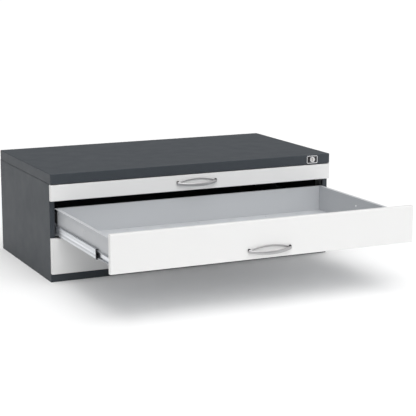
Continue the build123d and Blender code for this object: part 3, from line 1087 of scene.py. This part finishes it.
# --- Handles -------------------------------------------------------------------------------
@dataclass(frozen=True)
class Bow:
    """A strip that arches from one end of a handle to the other."""

    half_width: float
    end_size: tuple[float, float]      # depth and height of its section at the ends
    middle_size: tuple[float, float]   # the same in the middle
    reach: float                       # how far its middle stands out, to its centre line
    rise: float                        # how far its middle stands above its ends
    closing: float = 0.955             # the share of its half width where its ends close
    blunt: float = 0.2
    stations: int = 28
    sides: int = 18

    def section(self, share: float) -> tuple[Vector, float, float]:
        """One section of the strip.

        Args:
            share: from -1 at the left end to 1 at the right end.

        Returns:
            Its centre from the handle's middle, its half depth and its half height.
        """
        arch = 1.0 - share * share
        depth = self.end_size[0] + (self.middle_size[0] - self.end_size[0]) * arch
        height = self.end_size[1] + (self.middle_size[1] - self.end_size[1]) * arch
        outward = self.end_size[0] / 2 + (self.reach - self.end_size[0] / 2) * arch
        closed = max(0.0, (abs(share) - self.closing) / (1.0 - self.closing))
        rounding = math.sqrt(max(self.blunt, 1.0 - closed * closed))
        centre = Vector((share * self.half_width, -outward, self.rise * arch))
        return centre, depth / 2 * rounding, height / 2 * rounding

    def model(self, name: str, middle: Vector) -> bpy.types.Object:
        """Draws the strip out from its left end, station by station.

        Args:
            name: its name.
            middle: the handle's middle on the drawer's face.

        Returns:
            The strip.
        """
        shares = [-math.cos(math.pi * step / self.stations) for step in range(self.stations + 1)]
        centre, depth, height = self.section(shares[0])
        Bench.clear()
        bpy.ops.mesh.primitive_circle_add(vertices=self.sides, radius=1.0, fill_type="NGON",
                                          location=middle + centre, rotation=(0, math.pi / 2, 0))
        strip = Bench.settle(name)
        with Bench.shaping(strip):
            Bench.pick_all()
            bpy.ops.transform.resize(value=(1.0, depth, height), center_override=middle + centre)
            for share in shares[1:]:
                ahead, deeper, higher = self.section(share)
                Bench.extrude(*(ahead - centre))
                bpy.ops.transform.resize(value=(1.0, deeper / depth, higher / height),
                                         center_override=middle + ahead)
                centre, depth, height = ahead, deeper, higher
            Bench.face_outwards()
        Bench.smooth(strip, 60.0)
        return strip


@dataclass
class BowHandle:
    """A handle of two bows that meet in a socket at each end."""

    grip: Bow = Bow(87 * MM, (7 * MM, 12.0 * MM), (6.5 * MM, 13.4 * MM), 22.5 * MM, -7.3 * MM)
    rim: Bow = Bow(85 * MM, (4.5 * MM, 5.0 * MM), (4.5 * MM, 6.2 * MM), 2.3 * MM, 13.8 * MM)
    grip_drop: float = 14 * MM
    socket_radius: float = 4.8 * MM
    socket_depth: float = 5 * MM
    socket_inset: float = 5.5 * MM
    socket_rise: float = 4.2 * MM
    socket_rim: float = 1.4 * MM
    socket_dish: float = 1.2 * MM

    def bows(self, name: str, middle: Vector) -> bpy.types.Object:
        """The thick grip and the thin rim, as one casting.

        Args:
            name: its name.
            middle: the handle's middle on the drawer's face.

        Returns:
            The casting.
        """
        parts = [self.grip.model("grip", middle), self.rim.model("rim", middle)]
        return Bench.join(name, parts)

    def sockets(self, name: str, middle: Vector) -> bpy.types.Object:
        """The sockets on the face that the ends are screwed to, in black plastic that paints the
        shade at the handle's ends.

        Args:
            name: their name.
            middle: the handle's middle on the drawer's face.

        Returns:
            Both sockets.
        """
        parts = []
        for side in Side:
            place = middle + Vector((side.value * (self.grip.half_width - self.socket_inset),
                                     -self.socket_depth / 2, self.socket_rise))
            socket = Bench.drum("socket", place, self.socket_radius, self.socket_depth, "Y", 32)
            with Bench.shaping(socket):
                Bench.pick_faces(socket, lambda middle, normal: normal.y < -0.9)
                bpy.ops.mesh.inset(thickness=self.socket_rim)
                Bench.extrude(0, self.socket_dish, 0)
            Bench.round_off(socket, 0.5 * MM, 2)
            parts.append(socket)
        return Bench.join(name, parts)


# --- Slides --------------------------------------------------------------------------------
@dataclass
class BallSlide:
    """The balls of a telescopic slide, and the cage in its inner race."""

    pitch: float = 9 * MM
    drop: float = 1.2 * MM
    inner_ball: float = 1.55 * MM
    inner_run: tuple[float, float] = (30 * MM, 230 * MM)      # from the middle member's front
    outer_ball: float = 1.7 * MM
    outer_run: tuple[float, float] = (-130 * MM, -30 * MM)    # from its rear
    cage_run: tuple[float, float] = (25 * MM, 235 * MM)       # from its front
    cage_strip: float = 0.4 * MM
    cage_gap: float = 0.65 * MM
    cage_rise: float = 0.8 * MM
    lip_inset: float = 0.1 * MM
    lip: float = 0.6 * MM

    def model(self, name: str, inner: Box, middle: Box, outer: Box) -> bpy.types.Object:
        """The balls and the cage of a left slide.

        Args:
            name: their name.
            inner: the corners of the inner member.
            middle: the corners of the middle member.
            outer: the corners of the outer member.

        Returns:
            The balls and the cage as one piece.
        """
        front, rear = middle[0].y, middle[1].y
        parts = self.balls(inner, middle, (inner[0].x + inner[1].x) / 2,
                           [front + run for run in self.inner_run], self.inner_ball)
        parts += self.balls(outer, middle, (middle[0].x + middle[1].x) / 2,
                            [rear + run for run in self.outer_run], self.outer_ball)
        parts.append(self.cage(inner, [front + run for run in self.cage_run]))
        cages = Bench.join(name, parts)
        Bench.smooth(cages)
        return cages

    def balls(self, member: Box, middle: Box, x: float, run: list[float],
              radius: float) -> list[bpy.types.Object]:
        """Two rows of balls, between the middle member and another.

        Args:
            member: the corners of the other member.
            middle: the corners of the middle member.
            x: where the balls' centres are.
            run: where the rows start and end.
            radius: a ball's radius.

        Returns:
            The balls.
        """
        Bench.clear()
        bpy.ops.mesh.primitive_uv_sphere_add(segments=8, ring_count=6, radius=radius)
        first = Bench.settle("ball")
        heights = ((member[0].z + middle[0].z + self.drop) / 2,
                   (member[1].z + middle[1].z - self.drop) / 2)
        count = int((run[1] - run[0]) / self.pitch)
        rows = [Bench.copy(first, "ball_copy", Vector((x, run[0] + step * self.pitch, z)))
                for step in range(count + 1) for z in heights]
        bpy.data.objects.remove(first)
        return rows

    def cage(self, inner: Box, run: list[float]) -> bpy.types.Object:
        """The strip that keeps the balls apart, with a narrower lip along both edges.

        Args:
            inner: the corners of the inner member.
            run: where it starts and ends.

        Returns:
            The cage.
        """
        x = inner[0].x - self.cage_gap
        bottom, top = inner[0].z - self.cage_rise, inner[1].z + self.cage_rise
        cage = Bench.block("cage", Vector((x, run[0], bottom)),
                           Vector((x + self.cage_strip, run[1], top)))
        with Bench.shaping(cage):
            for way in (-1, 1):
                Bench.pick_faces(cage, lambda middle, normal: normal.z * way > 0.9)
                bpy.ops.mesh.inset(thickness=self.lip_inset)
                Bench.extrude(0, 0, way * self.lip)
        return cage


@dataclass
class Stop:
    """The plastic stop on a middle member: a C with a tongue that runs in the inner member."""

    corner: float = 2.6 * MM
    wall: float = 2.0 * MM
    mouth_share: float = 0.83
    mouth_corner: float = 1.6 * MM
    tongue: float = 1.8 * MM
    tongue_reach: float = 2.2 * MM
    trim: float = 0.1 * MM
    past: float = 10 * MM              # how far a cutting tool passes the stop

    def model(self, name: str, low: Vector, high: Vector) -> bpy.types.Object:
        """The stop on the left side, between two corners.

        Args:
            name: its name.
            low: its lowest corner.
            high: its highest corner.

        Returns:
            The stop.
        """
        centre = (low + high) / 2
        stop = Bench.block(name, low, high)
        with Bench.shaping(stop):
            Bench.round_along_y(stop, self.corner, 6)
        half_mouth = (high.z - low.z) / 2 * self.mouth_share
        inside = low.x + self.wall

        def tool(start: float, bottom: float, top: float) -> bpy.types.Object:
            """A block through the stop, from a place in X and between two heights."""
            return Bench.block("tool", Vector((start, low.y - self.past, centre.z + bottom)),
                               Vector((high.x + self.past, high.y + self.past, centre.z + top)))

        for bottom, top in ((-half_mouth, -self.tongue), (self.tongue, half_mouth)):
            mouth = tool(inside, bottom, top)
            with Bench.shaping(mouth):
                Bench.round_along_y(mouth, self.mouth_corner, 4, left_of=centre.x)
            Bench.cut(stop, mouth)
        half_tongue = self.tongue + self.trim
        Bench.cut(stop, tool(inside + self.tongue_reach, -half_tongue, half_tongue))
        Bench.round_off(stop, 0.4 * MM, 2)
        return stop


# --- Drawers -------------------------------------------------------------------------------
@dataclass
class Drawer(Builder):
    """One drawer: its handle, its folded tray and what runs on its slides."""

    frame: dict[str, Any]
    rack: FinishRack
    number: int
    handle: BowHandle = field(default_factory=BowHandle)
    slide: BallSlide = field(default_factory=BallSlide)
    stop: Stop = field(default_factory=Stop)
    fold: float = 0.4 * MM
    member_fold: float = 0.22 * MM
    grooves: tuple[tuple[float, float], ...] = ((7.4 * MM, 9.4 * MM), (12.4 * MM, 15.4 * MM))
    groove_depth: float = 1.0 * MM

    @property
    def body(self) -> str:
        """The drawer's body."""
        return f"drawer_{self.number}"

    def build(self) -> None:
        """Makes the drawer's pieces."""
        self.bow_handle()
        for part in ("left_side", "right_side", "rear_wall"):
            self.soften(f"{self.body}_{part}", self.body, Slot.TRAY, self.fold)
        for side in Side:
            self.rolled_member(side)
            self.stop_and_cages(side)

    def rolled_member(self, side: Side) -> None:
        """The middle member of one slide, with its rolled grooves.

        Args:
            side: which slide.
        """
        node = f"{self.body}_{side.word}_slide_middle"
        low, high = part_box(node)
        outer_x = low.x if side is Side.LEFT else high.x
        centre_z = (low.z + high.z) / 2
        part = self.sheet(node, node + "_rolled")
        with Bench.shaping(part):
            for near, far in self.grooves:
                for height in (-far, -near, near, far):
                    Bench.slice_level(centre_z + height)
                Bench.pick_faces(part, lambda middle, normal: normal.x * side.value > 0.9
                                 and abs(middle.x - outer_x) < 0.05 * MM
                                 and near < abs(middle.z - centre_z) < far)
                Bench.extrude(-side.value * self.groove_depth, 0, 0)
        Bench.round_off(part, self.member_fold, 2, 40.0)
        Bench.flatten(part)
        self.fit(part, f"{self.body}_{side.word}_middle", Slot.ZINC, node)

    def bow_handle(self) -> None:
        """The handle on the drawer's face."""
        node = self.body + "_handle"
        low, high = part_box(node)
        middle = Vector(((low.x + high.x) / 2, high.y, low.z + self.handle.grip_drop))
        self.fit(self.handle.bows(node + "_bows", middle), self.body, Slot.HANDLE, node)
        # The sockets' black plastic paints the shade at the handle's ends.
        self.fit(self.handle.sockets(node + "_sockets", middle), self.body, Slot.PLASTIC)

    def stop_and_cages(self, side: Side) -> None:
        """The plastic stop of one slide, and its balls with their cage.

        Args:
            side: which slide.
        """
        prefix = f"{self.body}_{side.word}_slide_"
        body = f"{self.body}_{side.word}_middle"
        stop = self.stop.model(prefix + "stop", *self.mirrored_box(prefix + "retainer", side))
        members = [self.mirrored_box(prefix + name, side) for name in ("inner", "middle", "outer")]
        cages = self.slide.model(prefix + "ball_cages", *members)
        if side is Side.RIGHT:
            stop, cages = self.to_the_right(stop), self.to_the_right(cages)
        self.fit(stop, body, Slot.PLASTIC, prefix + "retainer")
        self.fit(cages, body, Slot.ZINC)

    @staticmethod
    def mirrored_box(node: str, side: Side) -> Box:
        """A node's corners, as they would be on the left side of the cabinet.

        Args:
            node: the node.
            side: the side that it is on.

        Returns:
            Its lowest and its highest corner.
        """
        low, high = (Vector(corner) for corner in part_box(node))
        if side is Side.RIGHT:
            low.x, high.x = -high.x, -low.x
        return low, high

    @staticmethod
    def to_the_right(part: bpy.types.Object) -> bpy.types.Object:
        """The piece reflected to the right side, in place of the one on the left.

        Args:
            part: the piece on the left.

        Returns:
            The piece on the right.
        """
        name = part.name
        part.name = name + "_left"
        twin = Bench.copy(part, name, mirrored=True)
        bpy.data.objects.remove(part)
        return twin


# --- Studio --------------------------------------------------------------------------------
@dataclass
class Studio:
    """The camera, the lamps and the floor."""

    eye: Vector = field(default_factory=lambda: Vector((-2.1305, -5.0041, 1.2665)))
    azimuth: float = math.radians(25.0)
    dip: float = math.radians(11.28)
    lens: float = 114.96
    sensor: float = 36.0
    floor_size: float = 60.0
    floor_glow: float = 0.10
    sky: float = 0.36
    backdrop: float = 1.0

    def build(self) -> None:
        """Sets the stage."""
        self.camera()
        self.floor()
        self.world()
        self.sun("ceiling", heading=Vector((-0.10, 0.12, -1.0)), strength=1.55, spread=60.0)
        self.sun("front_left_key", heading=Vector((0.30, 1.0, -0.95)), strength=1.10, spread=45.0)
        self.softbox("right_softbox", place=Vector((3.8, -3.2, 1.5)),
                     target=Vector((0.5, -0.4, 0.2)), size=(3.0, 2.4), power=22.0)
        bpy.context.scene.view_settings.view_transform = "Standard"

    @staticmethod
    def hang(data: bpy.types.ID, place: Vector, heading: Vector) -> bpy.types.Object:
        """Puts a camera or a light in the scene.

        Args:
            data: the camera or light.
            place: where it hangs.
            heading: the way that it looks.

        Returns:
            Its object.
        """
        thing = bpy.data.objects.new(data.name, data)
        bpy.context.scene.collection.objects.link(thing)
        thing.location = place
        thing.rotation_euler = heading.to_track_quat("-Z", "Y").to_euler()
        return thing

    def camera(self) -> None:
        """The camera, upright and without shift."""
        data = bpy.data.cameras.new("camera")
        data.lens = self.lens
        data.sensor_width = self.sensor
        ahead = Vector((math.sin(self.azimuth) * math.cos(self.dip),
                        math.cos(self.azimuth) * math.cos(self.dip), -math.sin(self.dip)))
        bpy.context.scene.camera = self.hang(data, self.eye, ahead)

    def floor(self) -> None:
        """A wide pale floor that glows a little, which keeps the shadows light."""
        Bench.clear()
        bpy.ops.mesh.primitive_plane_add(size=self.floor_size, location=(0, 0, 0))
        floor = bpy.context.active_object
        floor.name = "studio_floor"
        graph = Graph("studio_floor")
        shade = 1 + (graph.noise(2.0, 2.0) - 0.5) * 0.01
        floor.data.materials.append(graph.done({
            "Base Color": graph.tinted((0.86, 0.86, 0.86), shade),
            "Roughness": 0.9,
            "Specular IOR Level": 0.0,
            "Emission Color": (1.0, 1.0, 1.0, 1.0),
            "Emission Strength": self.floor_glow,
        }))

    def world(self) -> None:
        """Even white light from all round, behind a brighter backdrop."""
        world = bpy.data.worlds.new("studio")
        world.use_nodes = True
        tree = world.node_tree
        background = tree.nodes["Background"]
        background.inputs["Color"].default_value = (1.0, 1.0, 1.0, 1.0)
        rays = tree.nodes.new("ShaderNodeLightPath")
        strength = tree.nodes.new("ShaderNodeMapRange")
        strength.inputs["To Min"].default_value = self.sky
        strength.inputs["To Max"].default_value = self.backdrop
        tree.links.new(rays.outputs["Is Camera Ray"], strength.inputs["Value"])
        tree.links.new(strength.outputs[0], background.inputs["Strength"])
        bpy.context.scene.world = world

    def sun(self, name: str, heading: Vector, strength: float, spread: float) -> None:
        """A broad, even light from far away.

        Args:
            name: its name.
            heading: the way that its light goes.
            strength: its watts per square metre.
            spread: how wide it looks, in degrees.
        """
        data = bpy.data.lights.new(name, "SUN")
        data.energy = strength
        data.angle = math.radians(spread)
        self.hang(data, ORIGIN, heading)

    def softbox(self, name: str, place: Vector, target: Vector, size: tuple[float, float],
                power: float) -> None:
        """A soft rectangular lamp.

        Args:
            name: its name.
            place: where it hangs.
            target: what it points at.
            size: its width and height.
            power: its watts.
        """
        data = bpy.data.lights.new(name, "AREA")
        data.shape = "RECTANGLE"
        data.size, data.size_y = size
        data.energy = power
        self.hang(data, place, target - place)


def dress_nodes(frame: dict[str, Any], rack: FinishRack) -> None:
    """Gives every node of the frame the finish of its slot.

    Args:
        rack: the finishes.
    """
    for entry in frame["record"]["subparts"]:
        rack.dress(frame["nodes"][entry["node"]], Slot(entry["material_slot"]))


def main() -> None:
    """Builds the cabinet round the frame."""
    logging.basicConfig(level=logging.INFO, format="%(message)s")
    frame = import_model()
    rack = FinishRack()
    dress_nodes(frame, rack)
    Carcass(frame, rack).build()
    CentralLock(frame, rack).build()
    for number in DRAWERS:
        Drawer(frame, rack, number).build()
    Studio().build()


if __name__ == "__main__":
    main()
